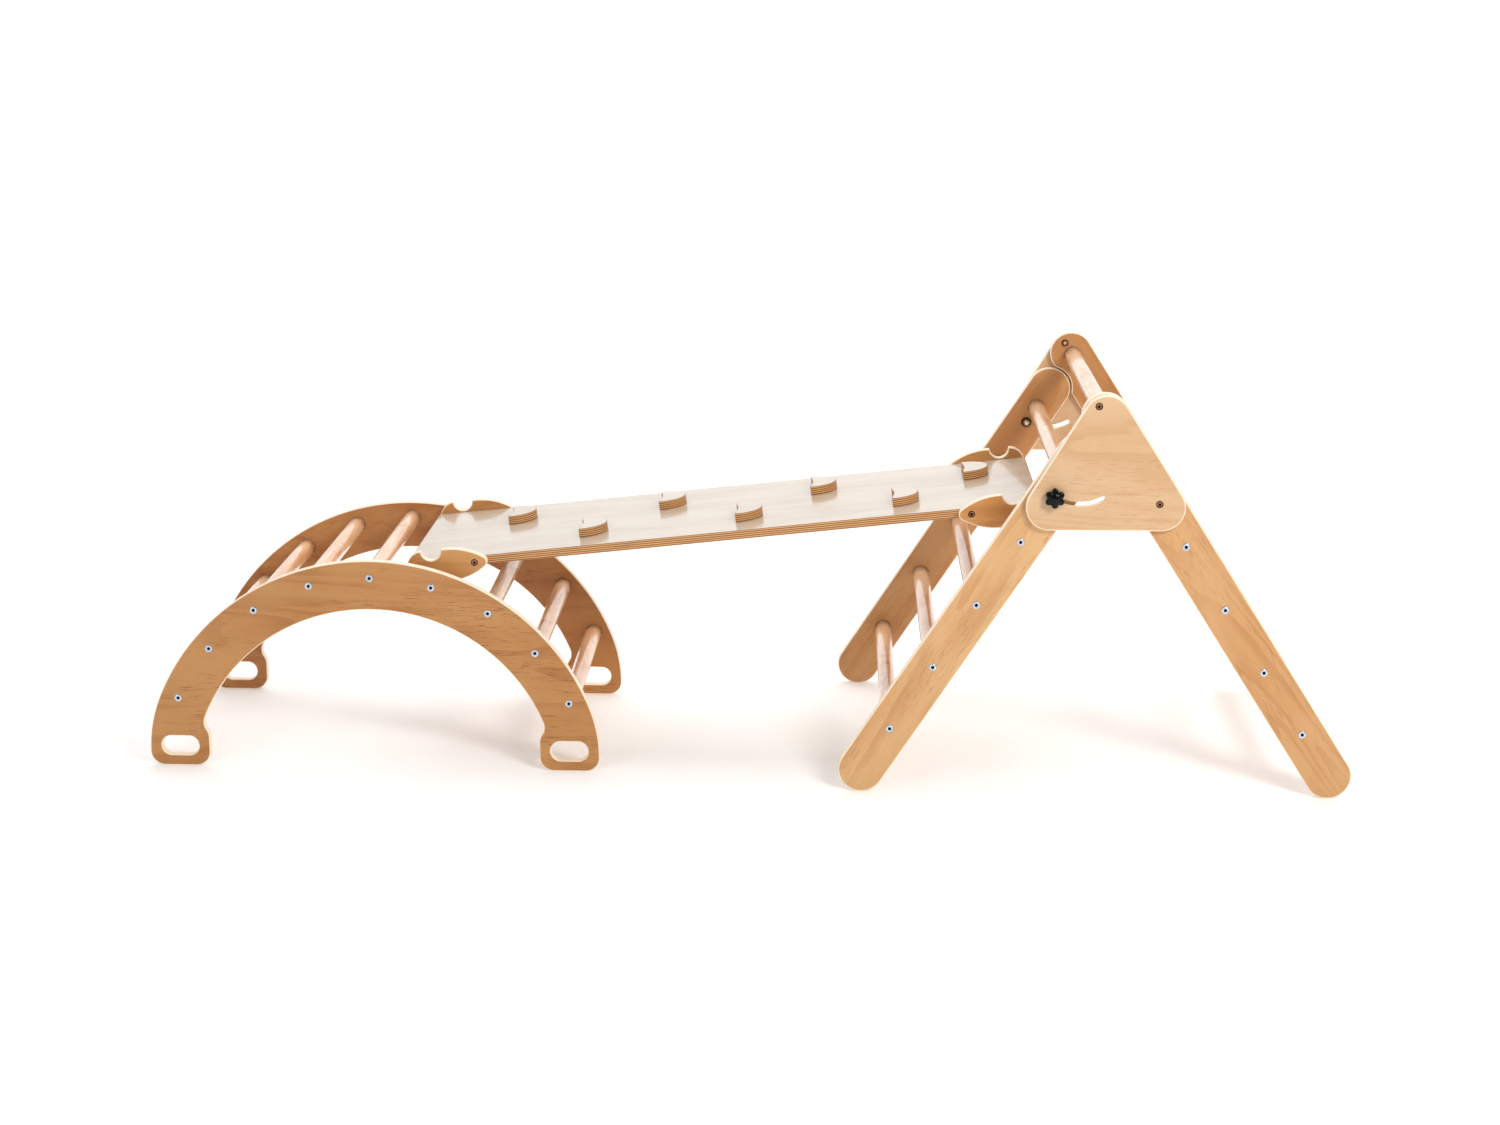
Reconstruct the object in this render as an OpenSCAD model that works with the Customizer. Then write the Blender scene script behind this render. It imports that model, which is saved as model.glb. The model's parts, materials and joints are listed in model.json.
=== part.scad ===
// Indoor climbing set: a folding ladder triangle, an arch of rungs and a
// reversible ramp board that hooks over one rung of each.
// Units mm, +Z up, floor at Z = 0, X along the set, right-hand side at -Y.

/* [Plywood] */
// thickness of rails, arch panels, ramp ears
ply_t = 18; // [12:1:24]
// thickness of the two triangular side plates
plate_t = 15; // [9:1:21]

/* [Rungs] */
// rung diameter
rung_d = 35; // [25:1:40]
// radial gap left around a rung in its socket
socket_gap = 0.6; // [0.1:0.1:1.5]
// depth of a rung socket
socket_depth = 9; // [5:1:12]

/* [Triangle] */
// width over the outer faces of the rails
tri_w = 756; // [500:2:900]
// rail width
rail_w = 90; // [70:1:110]
// distance between the front and rear foot centres
foot_spread = 911; // [700:1:1100]
// lean of the front ladder from the floor
front_angle = 57.2; // [45:0.1:75]
// lean of the rear ladder from the floor
rear_angle = 57.0; // [45:0.1:75]
// foot centre to first rung, front
front_first = 100; // [80:1:160]
// rung pitch, front
front_pitch = 150; // [110:1:180]
// foot centre to pivot, front
pivot_s = 750; // [600:1:900]
// foot centre to first rung, rear
rear_first = 101; // [80:1:160]
// rung pitch, rear
rear_pitch = 148; // [110:1:180]
// air gap around the front rail's round head
head_gap = 4; // [2:0.5:8]
// pivot to clamp bolt, along the front rail
clamp_r = 89; // [70:1:110]
// angle the curved slot covers
slot_sweep = 62; // [30:1:70]
// slot width
slot_w = 10; // [9:0.5:14]

/* [Arch] */
// width over the outer faces of the panels
arch_w = 548; // [400:2:760]
// outer radius
arch_ro = 467; // [400:1:560]
// inner radius
arch_ri = 368; // [300:1:460]
// how far the arch centre lies below the floor
arch_drop = 38; // [0:1:80]
// radius the rungs stand on
arch_rr = 432; // [350:1:520]
// angle between rungs
arch_step = 16.37; // [12:0.01:20]
// half length over the feet
arch_half = 454; // [400:1:540]
// foot length along the floor
foot_l = 121; // [90:1:160]
// sideways place of the arch against the triangle
arch_y = -12; // [-30:1:30]

/* [Ramp] */
// board width
ramp_w = 431; // [300:1:500]
// board length beyond each rung
ramp_over = 53; // [30:1:80]
// notch radius in the ears
notch_r = 20; // [18.5:0.5:24]
// half height of an ear
ear_h = 33; // [28:1:45]
// wood between a notch and the middle of the board
notch_floor = 12.5; // [10:0.5:16]
// first hold's flat side from the arch rung
stone_first = 121; // [90:1:200]
// pitch of the holds along the board
stone_pitch = 159; // [120:1:200]
// distance of the two rows of holds from the board's middle
stone_row = 92; // [60:1:140]
// how much further up the board the near row of holds stands
row_shift = 8; // [0:1:30]
// hold radius
stone_r = 50; // [35:1:60]
// hold thickness
stone_t = 18; // [12:1:25]

/* [Hidden] */
$fn = 96;
rr = rung_d / 2;
sr = rr + socket_gap;
hw = rail_w / 2;
front_n = 5;
rear_n = 6;
arch_n = 9;
fit = 0.05;
run = 0.3;

// places along X
arch_cx = -739.5;
uf = [cos(front_angle), sin(front_angle)];
ur = [-cos(rear_angle), sin(rear_angle)];
a6 = [arch_cx + arch_rr * sin(arch_step), arch_rr * cos(arch_step) - arch_drop];
xf = arch_cx + 977;
xr = xf + foot_spread;
front0 = [xf, hw];
rear0 = [xr, hw];
f4 = front0 + uf * (front_first + 3 * front_pitch);
pivot = front0 + uf * pivot_s;
rear_len = rear_first + (rear_n - 1) * rear_pitch;
rhead = rear0 + ur * rear_len;
rtop = rhead + ur * 4;
clampc = pivot - uf * clamp_r;

// planes along Y, as distances from the middle
yo = tri_w / 2;
yi = yo - ply_t;
rear_yo = yo + run;
rear_yi = rear_yo - ply_t;
plate_yi = yo + run;
plate_yo = plate_yi + plate_t;
ao = arch_w / 2;
ai = ao - ply_t;

// screw and bolt sizes
head_r = 7.5;
screw_r = 3;
bolt_r = 4;
pin_r = 5;

// ramp frame: x along the board from the arch rung, z normal to it
slope = atan2(f4[1] - a6[1], f4[0] - a6[0]);
ramp_l = norm(f4 - a6);
lift = notch_floor + rr + run;
board_t = ply_t;

// ---------------------------------------------------------------- helpers

// meeting point of two circles, on the left of the line from p to q
function meet(p, a, q, b) =
    let (d = norm(q - p), x = (d * d + a * a - b * b) / (2 * d))
    let (h = sqrt(a * a - x * x), e = (q - p) / d)
    p + e * x + [-e[1], e[0]] * h;

function unit(v) = v / norm(v);

// flat sheet standing in the XZ plane, from y0 to y0 + t
module sheet(y0, t) {
    translate([0, y0 + t, 0])
        rotate([90, 0, 0])
            linear_extrude(height = t)
                children();
}

// round bar along Y
module bar(p, r, y0, y1) {
    translate([p[0], y1, p[1]])
        rotate([90, 0, 0])
            cylinder(r = r, h = y1 - y0);
}

// everything outside a rounding circle, between two directions
module nip(c, r, d1, d2) {
    difference() {
        polygon([c, c + d1 * r * 3, c + (d1 + d2) * r * 3, c + d2 * r * 3]);
        translate(c)
            circle(r = r);
    }
}

// straight bar with round ends, flat shape
module stadium(p, q, r) {
    e = unit(q - p);
    n = [-e[1], e[0]];
    union() {
        translate(p)
            circle(r = r);
        translate(q)
            circle(r = r);
        polygon([p + n * r, p - n * r, q - n * r, q + n * r]);
    }
}

function front_rung(i) = front0 + uf * (front_first + i * front_pitch);
function rear_rung(i) = rear0 + ur * (rear_first + i * rear_pitch);
function arch_th(i) = (i - (arch_n - 1) / 2) * arch_step;
function arch_rung(i) =
    [arch_cx + arch_rr * sin(arch_th(i)), arch_rr * cos(arch_th(i)) - arch_drop];

// screw lying along Y, head outwards at y = 0 and shank towards -Y
module rung_screw() {
    difference() {
        union() {
            rotate([90, 0, 0])
                cylinder(r = head_r, h = 2);
            rotate([-90, 0, 0])
                cylinder(r1 = head_r, r2 = head_r - 1.2, h = 0.8);
            rotate([90, 0, 0])
                cylinder(r = screw_r, h = 50);
        }
        translate([0, 1.5, 0])
            rotate([90, 0, 0])
                cylinder(r = 3.6, h = 3, $fn = 6);
    }
}

// rung screw, its head cut back flush where the side plate covers it
module rail_screw(covered) {
    intersection() {
        rung_screw();
        translate([-10, -60, -10])
            cube([20, covered ? 60 : 70, 20]);
    }
}

// place a child that points outwards along +Y on both sides at one XZ point
module both_sides(p, y) {
    translate([p[0], y, p[1]])
        children();
    mirror([0, 1, 0])
        translate([p[0], y, p[1]])
            children();
}

// cut for one rung: blind socket, screw hole and head recess on the +Y side
module rung_cut(p, yin, yout) {
    bar(p, sr, yin - 1, yin + socket_depth);
    bar(p, screw_r + fit, yin, yout + 1);
    bar(p, head_r + 0.1, yout - 2.05, yout + 1);
}

// rung with a pilot hole in each end
module rung(p, half) {
    difference() {
        bar(p, rr, -half, half);
        bar(p, screw_r + fit, half - 42, half + 1);
        bar(p, screw_r + fit, -half - 1, 42 - half);
    }
}

// ---------------------------------------------------------------- triangle

module front_rail_shape() {
    stadium(front0, pivot, hw);
}

module front_rail() {
    difference() {
        sheet(yi, ply_t)
            front_rail_shape();
        for (i = [0 : front_n - 1])
            rung_cut(front_rung(i), yi, yo);
        bar(pivot, pin_r + fit, yo - 10.5, yo + 1);
        bar(clampc, bolt_r + fit, yi - 1, yo + 1);
    }
}

module front_rail_left() {
    color("burlywood")
        front_rail();
}

module front_rail_right() {
    color("burlywood")
        mirror([0, 1, 0])
            front_rail();
}

module front_rungs() {
    color("wheat")
        for (i = [0 : front_n - 1])
            rung(front_rung(i), yi + socket_depth - 0.2);
}

module front_rung_screws() {
    color("silver")
        for (i = [0 : front_n - 1])
            both_sides(front_rung(i), yo)
                rail_screw(i > 3);
}

module pivot_pin() {
    bar(pivot, pin_r, yo - 10, yo + 9);
}

module pivot_pins() {
    color("silver") {
        pivot_pin();
        mirror([0, 1, 0])
            pivot_pin();
    }
}

// clamp hardware: bolt through front rail and slot, nut and washer inside
bolt_y0 = yi - 12;
bolt_y1 = plate_yo + 17;

module clamp_bolts() {
    color("dimgray") {
        bar(clampc, bolt_r, bolt_y0, bolt_y1);
        mirror([0, 1, 0])
            bar(clampc, bolt_r, bolt_y0, bolt_y1);
    }
}

module clamp_washer() {
    difference() {
        bar(clampc, 11, yi - 1.6, yi);
        bar(clampc, bolt_r + fit, yi - 3, yi + 1);
    }
}

module clamp_washers() {
    color("silver") {
        clamp_washer();
        mirror([0, 1, 0])
            clamp_washer();
    }
}

module clamp_nut() {
    difference() {
        translate([clampc[0], yi - 1.6, clampc[1]])
            rotate([90, 0, 0])
                cylinder(r = 7.5, h = 6.5, $fn = 6);
        bar(clampc, bolt_r + fit, yi - 10, yi + 1);
    }
}

module clamp_nuts() {
    color("goldenrod") {
        clamp_nut();
        mirror([0, 1, 0])
            clamp_nut();
    }
}

// star knob, six lobes, on the outside of the side plate
module clamp_knob() {
    ky = plate_yo + run;
    difference() {
        union() {
            bar(clampc, 10, ky, ky + 7);
            bar(clampc, 14, ky + 6, ky + 21);
            bar(clampc, 10.5, ky + 20, ky + 22.5);
            for (a = [0 : 60 : 300])
                bar(clampc + 13.4 * [sin(a), cos(a)], 6.2, ky + 6.5, ky + 20.5);
        }
        bar(clampc, bolt_r + fit, ky - 1, ky + 17.5);
    }
}

module clamp_knob_left() {
    color("black")
        clamp_knob();
}

module clamp_knob_right() {
    color("black")
        mirror([0, 1, 0])
            clamp_knob();
}

// rear rail, scooped round the front rail's head
scoop_r = hw + head_gap;
nose_r = 14;
nose_c = meet(pivot, scoop_r + nose_r, rtop, hw - nose_r);

module rear_rail_shape() {
    difference() {
        stadium(rear0, rtop, hw);
        translate(pivot)
            circle(r = scoop_r);
        nip(nose_c, nose_r + 0.04, unit(nose_c - rtop), unit(pivot - nose_c));
    }
}

top_bolt = rhead + ur * 30.5;
low_bolt = rear0 + ur * 648;

module rear_rail() {
    difference() {
        sheet(rear_yi, ply_t)
            rear_rail_shape();
        for (i = [0 : rear_n - 1])
            rung_cut(rear_rung(i), rear_yi, rear_yo);
        bar(top_bolt, screw_r + fit, rear_yi - 1, rear_yo + 1);
        bar(low_bolt, screw_r + fit, rear_yi - 1, rear_yo + 1);
    }
}

module rear_rail_left() {
    color("burlywood")
        rear_rail();
}

module rear_rail_right() {
    color("burlywood")
        mirror([0, 1, 0])
            rear_rail();
}

module rear_rungs() {
    color("wheat")
        for (i = [0 : rear_n - 1])
            rung(rear_rung(i), rear_yi + socket_depth - 0.2);
}

module rear_rung_screws() {
    color("silver")
        for (i = [0 : rear_n - 1])
            both_sides(rear_rung(i), rear_yo)
                rail_screw(i > 3);
}

// side plate: a triangle with three round corners and a curved slot
plate_c1 = rhead + ur * 1.5;
plate_c2 = front0 + uf * 638.8 + [uf[1], -uf[0]] * 4.6;
plate_c3 = rear0 + ur * 639;
slot_r = clamp_r;
slot_a0 = front_angle + 180 + 0.45;
slot_a1 = front_angle + 180 + slot_sweep;

module plate_shape() {
    c = [plate_c1, plate_c2, plate_c3];
    union() {
        polygon(c);
        for (i = [0 : 2])
            stadium(c[i], c[(i + 1) % 3], hw);
    }
}

module slot_shape() {
    k = slot_w / 2;
    p0 = slot_r * [cos(slot_a0), sin(slot_a0)];
    p1 = slot_r * [cos(slot_a1), sin(slot_a1)];
    m = (slot_a0 + slot_a1) / 2;
    translate(pivot) {
        translate(p0)
            circle(r = k + 0.05);
        translate(p1)
            circle(r = k + 0.05);
        intersection() {
            difference() {
                circle(r = slot_r + k);
                circle(r = slot_r - k);
            }
            polygon([[0, 0], p0 * 1.3, 140 * [cos(m), sin(m)], p1 * 1.3]);
        }
    }
}

module side_plate() {
    difference() {
        sheet(plate_yi, plate_t)
            difference() {
                plate_shape();
                slot_shape();
            }
        bar(pivot, pin_r + 0.06, plate_yi - 1, plate_yi + 9.5);
        for (p = [top_bolt, low_bolt]) {
            bar(p, screw_r + fit, plate_yi - 1, plate_yo + 1);
            bar(p, head_r + 0.1, plate_yo - 2.05, plate_yo + 1);
        }
    }
}

module side_plate_left() {
    color("tan")
        side_plate();
}

module side_plate_right() {
    color("tan")
        mirror([0, 1, 0])
            side_plate();
}

// flat-headed bolt lying along Y, head at y = 0, shank towards -Y
module flat_bolt(len) {
    difference() {
        union() {
            rotate([90, 0, 0])
                cylinder(r = head_r, h = 2);
            rotate([90, 0, 0])
                cylinder(r = screw_r, h = len);
        }
        translate([0, 1, 0])
            rotate([90, 0, 0])
                cylinder(r = 2.6, h = 2.2, $fn = 6);
    }
}

module plate_bolts() {
    color("saddlebrown")
        for (p = [top_bolt, low_bolt])
            both_sides(p, plate_yo)
                flat_bolt(plate_t + ply_t + 5);
}

// flanged nut, flange against the inner face of the rear rail
module flange_nut() {
    difference() {
        union() {
            rotate([90, 0, 0])
                cylinder(r = head_r, h = 1.4);
            translate([0, -1.4, 0])
                rotate([90, 0, 0])
                    cylinder(r = 5.5, h = 2.8, $fn = 6);
        }
        translate([0, 1, 0])
            rotate([90, 0, 0])
                cylinder(r = screw_r + fit, h = 8);
    }
}

module plate_nuts() {
    color("saddlebrown")
        for (p = [top_bolt, low_bolt])
            both_sides(p, rear_yi)
                flange_nut();
}

// ---------------------------------------------------------------- arch

foot_r = 29;
toe_r = 32;
waist_r = 28;
hip_r = 285;
hip = [arch_half - hip_r, 29.55];
fx0 = arch_half - foot_l;

// the part of the +X foot that reaches into the opening
module foot_toe() {
    corner = [fx0 + toe_r, 58];
    waist = meet([0, -arch_drop], arch_ri - waist_r, corner, toe_r + waist_r);
    difference() {
        polygon([
            [fx0, -20], [fx0, corner[1]], waist,
            unit(waist + [0, arch_drop]) * (arch_ri + 20) - [0, arch_drop],
            [arch_half, 100], [arch_half, -20]
        ]);
        translate(waist)
            circle(r = waist_r);
        nip(corner, toe_r, [-1, 0], unit(waist - corner));
    }
}

module grip_shape() {
    stadium([fx0 + 42.5, 41.5], [arch_half - 43.5, 41.5], 20);
}

module arch_shape() {
    difference() {
        intersection() {
            translate([0, -arch_drop])
                circle(r = arch_ro);
            translate([-arch_half, 0])
                square([2 * arch_half, 500]);
        }
        difference() {
            translate([0, -arch_drop])
                circle(r = arch_ri);
            foot_toe();
            mirror([1, 0])
                foot_toe();
        }
        for (s = [0, 1])
            mirror([s, 0]) {
                grip_shape();
                nip([fx0 + foot_r, foot_r], foot_r, [-1, 0], [0, -1]);
                nip([arch_half - foot_r, foot_r], foot_r, [1, 0], [0, -1]);
                nip(hip, hip_r, [1, 0], unit(hip + [0, arch_drop]));
            }
    }
}

module arch_panel() {
    difference() {
        translate([arch_cx, 0, 0])
            sheet(ai, ply_t)
                arch_shape();
        for (i = [0 : arch_n - 1])
            rung_cut(arch_rung(i), ai, ao);
    }
}

module arch_panel_left() {
    color("peru")
        translate([0, arch_y, 0])
            arch_panel();
}

module arch_panel_right() {
    color("peru")
        translate([0, arch_y, 0])
            mirror([0, 1, 0])
                arch_panel();
}

module arch_rungs() {
    color("wheat")
        translate([0, arch_y, 0])
            for (i = [0 : arch_n - 1])
                rung(arch_rung(i), ai + socket_depth - 0.2);
}

module arch_rung_screws() {
    color("silver")
        translate([0, arch_y, 0])
            for (i = [0 : arch_n - 1])
                both_sides(arch_rung(i), ao)
                    rung_screw();
}

// ---------------------------------------------------------------- ramp

module on_ramp() {
    translate([a6[0], 0, a6[1]])
        rotate([0, -slope, 0])
            translate([0, 0, lift])
                children();
}

ear_bolt_u = 84;
nut_u = ear_bolt_u;
nut_v = ramp_w / 2 - 32;

function stone_x(k) = stone_first + k * stone_pitch + (k % 2) * row_shift;
function stone_y(k) = (k % 2 == 0 ? 1 : -1) * stone_row;

module ramp_board() {
    color("antiquewhite")
        on_ramp()
            difference() {
                translate([-ramp_over, -ramp_w / 2, -board_t / 2])
                    cube([ramp_l + 2 * ramp_over, ramp_w, board_t]);
                for (k = [0 : 6])
                    for (s = [-1, 1])
                        translate([stone_x(k) + 20, stone_y(k) + s * 26, 0]) {
                            cylinder(r = 2.1, h = board_t, center = true);
                            translate([0, 0, -board_t / 2 - 0.02])
                                cylinder(r1 = 4.2, r2 = 2.1, h = 2.6);
                        }
                for (x = [nut_u, ramp_l - nut_u])
                    for (s = [-1, 1]) {
                        translate([x, s * nut_v, -board_t / 2 - 1])
                            cylinder(r = 5.05, h = 15);
                        translate([x, s * (ramp_w / 2 + 1), 0])
                            rotate([s * 90, 0, 0])
                                cylinder(r = screw_r + fit, h = 41);
                    }
            }
}

// hold with a shallow scoop in its flat side
module stone() {
    translate([4, 0, board_t / 2])
        linear_extrude(height = stone_t)
            difference() {
                circle(r = stone_r);
                translate([-4 - 2 * stone_r, -stone_r])
                    square([2 * stone_r, 2 * stone_r]);
                translate([-140, 0])
                    circle(r = 140);
            }
}

module climbing_stones() {
    color("antiquewhite")
        on_ramp()
            for (k = [0 : 6])
                difference() {
                    translate([stone_x(k), stone_y(k), 0])
                        stone();
                    for (s = [-1, 1])
                        translate([stone_x(k) + 20, stone_y(k) + s * 26, 0])
                            cylinder(r = 2.05, h = board_t / 2 + 12);
                }
}

module stone_screws() {
    color("silver")
        on_ramp()
            for (k = [0 : 6])
                for (s = [-1, 1])
                    translate([stone_x(k) + 20, stone_y(k) + s * 26, -board_t / 2]) {
                        cylinder(r = 2, h = board_t + 10);
                        cylinder(r1 = 4, r2 = 2, h = 2.5);
                    }
}

// ear: leaf shape with a half-round notch in each long edge
leaf_r = 130;
leaf_x = 30;
tip_r = 12;
tip_x = leaf_x + sqrt(pow(leaf_r - tip_r, 2) - pow(leaf_r - ear_h, 2));
hook_x = -19;
notch_w = notch_floor + notch_r;
lip_r = 3.5;
heel_r = 2.6;
lip = meet([hook_x, 0], ear_h - lip_r, [0, notch_w], notch_r + lip_r);
heel = [sqrt(pow(notch_r + heel_r, 2) - pow(notch_w - ear_h + heel_r, 2)), ear_h - heel_r];

module ear_half_cuts() {
    translate([0, notch_w])
        circle(r = notch_r);
    nip(lip, lip_r, unit(lip - [hook_x, 0]), unit([0, notch_w] - lip));
    nip(heel, heel_r, [0, 1], unit([0, notch_w] - heel));
}

module ear_shape() {
    difference() {
        union() {
            intersection() {
                translate([leaf_x, ear_h - leaf_r])
                    circle(r = leaf_r);
                translate([leaf_x, leaf_r - ear_h])
                    circle(r = leaf_r);
                translate([leaf_x - 1, -ear_h - 1])
                    square([100, 2 * ear_h + 2]);
            }
            translate([hook_x, -ear_h])
                square([leaf_x - hook_x, 2 * ear_h]);
            translate([hook_x, 0])
                circle(r = ear_h);
        }
        nip([tip_x, 0], tip_r,
            unit([tip_x, 0] - [leaf_x, ear_h - leaf_r]),
            unit([tip_x, 0] - [leaf_x, leaf_r - ear_h]));
        ear_half_cuts();
        mirror([0, 1])
            ear_half_cuts();
    }
}

// an ear on the +Y side of the board, hook towards -X
module ear() {
    difference() {
        sheet(ramp_w / 2, ply_t)
            ear_shape();
        bar([ear_bolt_u, 0], screw_r + fit, ramp_w / 2 - 1, ramp_w / 2 + ply_t + 1);
        bar([ear_bolt_u, 0], head_r + 0.1, ramp_w / 2 + ply_t - 2.05, ramp_w / 2 + ply_t + 1);
    }
}

module flip_end() {
    translate([ramp_l, 0, 0])
        mirror([1, 0, 0])
            children();
}

module ear_arch_left() {
    color("burlywood")
        on_ramp()
            ear();
}

module ear_arch_right() {
    color("burlywood")
        on_ramp()
            mirror([0, 1, 0])
                ear();
}

module ear_triangle_left() {
    color("burlywood")
        on_ramp()
            flip_end()
                ear();
}

module ear_triangle_right() {
    color("burlywood")
        on_ramp()
            flip_end()
                mirror([0, 1, 0])
                    ear();
}

module ear_bolts() {
    color("saddlebrown")
        on_ramp()
            for (x = [ear_bolt_u, ramp_l - ear_bolt_u])
                both_sides([x, 0], ramp_w / 2 + ply_t)
                    flat_bolt(55);
}

module ear_barrel_nuts() {
    color("silver")
        on_ramp()
            for (x = [nut_u, ramp_l - nut_u])
                for (s = [-1, 1])
                    difference() {
                        translate([x, s * nut_v, -board_t / 2])
                            cylinder(r = 5, h = 13.5);
                        translate([x, s * (nut_v + 10), 0])
                            rotate([s * 90, 0, 0])
                                cylinder(r = screw_r + fit, h = 20);
                    }
}

// ---------------------------------------------------------------- nodes

front_rail_right();
front_rail_left();
front_rungs();
front_rung_screws();
pivot_pins();
clamp_bolts();
clamp_washers();
clamp_nuts();
clamp_knob_right();
clamp_knob_left();
rear_rail_right();
rear_rail_left();
rear_rungs();
rear_rung_screws();
side_plate_right();
side_plate_left();
plate_bolts();
plate_nuts();
arch_panel_right();
arch_panel_left();
arch_rungs();
arch_rung_screws();
ramp_board();
climbing_stones();
stone_screws();
ear_arch_right();
ear_arch_left();
ear_triangle_right();
ear_triangle_left();
ear_bolts();
ear_barrel_nuts();
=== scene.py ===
"""Looks of the indoor climbing set.

Every flat plywood piece is rebuilt from its own CAD outline with rounded, layered edges.
Rungs, screws, bolts, nuts and knobs are turned from profiles at their CAD places.
All lengths are metres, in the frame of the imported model.
"""

import json
import math
from collections import Counter

import bpy
from mathutils import Matrix, Vector
from mathutils.geometry import tessellate_polygon


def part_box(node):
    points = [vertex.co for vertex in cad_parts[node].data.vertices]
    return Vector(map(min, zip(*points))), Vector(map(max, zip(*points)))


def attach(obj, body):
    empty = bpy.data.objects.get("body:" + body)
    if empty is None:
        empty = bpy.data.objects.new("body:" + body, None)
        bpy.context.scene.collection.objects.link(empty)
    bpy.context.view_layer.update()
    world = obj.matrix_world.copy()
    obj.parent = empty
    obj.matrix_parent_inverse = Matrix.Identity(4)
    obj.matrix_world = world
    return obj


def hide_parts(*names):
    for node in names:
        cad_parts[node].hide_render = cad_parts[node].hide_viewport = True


MM = 0.001

WIDE_OPENING = 14 * MM  # openings at least this wide have the sheet's own rounding
SLOT_RIM = 0.4 * MM  # rounding of narrower openings
HOLE_RIM = 0.3 * MM  # rounding of blind sockets and recesses
SOCKET_WIDTH = 25 * MM  # blind holes wider than this are rung sockets
SOCKET_DEPTH = 9 * MM
RECESS_DEPTH = 2.05 * MM
BARREL_LENGTH = 13 * MM
HOLD_SCREW_HALF = 14 * MM  # half the length of the screws in the holds

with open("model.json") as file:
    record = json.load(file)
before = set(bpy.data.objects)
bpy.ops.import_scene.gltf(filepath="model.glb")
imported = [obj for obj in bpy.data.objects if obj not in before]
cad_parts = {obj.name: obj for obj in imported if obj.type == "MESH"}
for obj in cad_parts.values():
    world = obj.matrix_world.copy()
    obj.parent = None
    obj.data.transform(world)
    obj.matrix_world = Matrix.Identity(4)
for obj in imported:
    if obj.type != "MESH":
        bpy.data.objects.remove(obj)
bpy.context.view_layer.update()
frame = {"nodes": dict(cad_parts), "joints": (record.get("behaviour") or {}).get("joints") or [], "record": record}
nodes = frame["nodes"]
joint_at = {j["name"]: Vector(j["pos_m"]) for j in frame["joints"] if "pos_m" in j}
body_of = {n: b for b, ns in frame["record"]["behaviour"]["bodies"].items() for n in ns}

# ---------------------------------------------------------------- reading CAD shapes


def islands(node):
    """(lowest corner, highest corner) of each separate solid in a node, sorted by place."""
    mesh = nodes[node].data
    keys = [tuple(round(c, 6) for c in v.co) for v in mesh.vertices]
    parent = {k: k for k in keys}

    def root(k):
        while parent[k] != k:
            parent[k] = parent[parent[k]]
            k = parent[k]
        return k

    for e in mesh.edges:
        a, b = root(keys[e.vertices[0]]), root(keys[e.vertices[1]])
        parent[a] = b
    groups = {}
    for k in parent:
        groups.setdefault(root(k), []).append(k)
    boxes = [
        (Vector(map(min, zip(*pts))), Vector(map(max, zip(*pts))))
        for pts in groups.values()
    ]
    return sorted(boxes, key=lambda b: (round(b[0].x, 4), round(b[0].y, 4)))


def centre(box):
    return (box[0] + box[1]) / 2


def face_loops(node, to_local, level):
    """Closed outlines of the flat face of a node that lies at z = level in a local frame."""
    mesh = nodes[node].data
    pts = [to_local @ v.co for v in mesh.vertices]
    used = Counter()
    for poly in mesh.polygons:
        ring = [pts[i] for i in poly.vertices]
        if all(abs(p.z - level) < 2e-5 for p in ring):
            keys = [(round(p.x, 6), round(p.y, 6)) for p in ring]
            used.update(zip(keys, keys[1:] + keys[:1]))
    following = {a: b for (a, b), times in used.items() if times > used.get((b, a), 0)}
    loops = []
    while following:
        start, here = following.popitem()
        loop = [start]
        while here != start:
            loop.append(here)
            here = following.pop(here)
        loops.append([Vector(p) for p in loop])
    return loops


def turn(a, b, c):
    """Signed angle by which the path a, b, c turns at b."""
    d0, d1 = b - a, c - b
    return math.atan2(d0.x * d1.y - d0.y * d1.x, d0.dot(d1))


def straightened(loop):
    """The loop without near-double points and without points that lie on a straight run."""
    loop = [p for i, p in enumerate(loop) if (p - loop[i - 1]).length > 0.1 * MM]
    n = len(loop)
    kept = [
        p for i, p in enumerate(loop)
        if abs(turn(loop[i - 1], p, loop[(i + 1) % n])) > 2e-3
    ]
    return kept if len(kept) > 3 else loop


def arcs_refined(loop, parts=3):
    """Adds points on the arcs of a loop, so that they look round in a close view."""
    n = len(loop)
    turns = [turn(loop[i - 1], loop[i], loop[(i + 1) % n]) for i in range(n)]
    sides = [(loop[(i + 1) % n] - loop[i]).length for i in range(n)]
    out = []
    for i, p in enumerate(loop):
        q = loop[(i + 1) % n]
        out.append(p)
        t0, t1 = turns[i], turns[(i + 1) % n]
        bend = t0 if abs(t0) > abs(t1) else t1
        near = min(sides[i - 1], sides[(i + 1) % n]) / sides[i]
        if t0 * t1 <= 0 or max(abs(t0), abs(t1)) > 0.45 or near < 0.6:
            continue
        right = Vector((q.y - p.y, p.x - q.x)).normalized()
        sag = sides[i] / 2 * math.tan(bend / 4)
        for k in range(1, parts):
            s = k / parts
            out.append(p.lerp(q, s) + right * sag * 4 * s * (1 - s))
    return out


def corners_rounded(loop, radius, steps=4):
    """Replaces each sharp corner of a loop by a small arc."""
    n = len(loop)
    out = []
    for i, p in enumerate(loop):
        a, c = loop[i - 1], loop[(i + 1) % n]
        angle = turn(a, p, c)
        if abs(angle) < 0.5:
            out.append(p)
            continue
        cut = min(radius * math.tan(abs(angle) / 2), 0.45 * min((a - p).length, (c - p).length))
        p0, p1 = p + (a - p).normalized() * cut, p + (c - p).normalized() * cut
        for k in range(steps + 1):
            s = k / steps
            out.append(p0 * (1 - s) ** 2 + p * 2 * s * (1 - s) + p1 * s * s)
    return out


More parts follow.
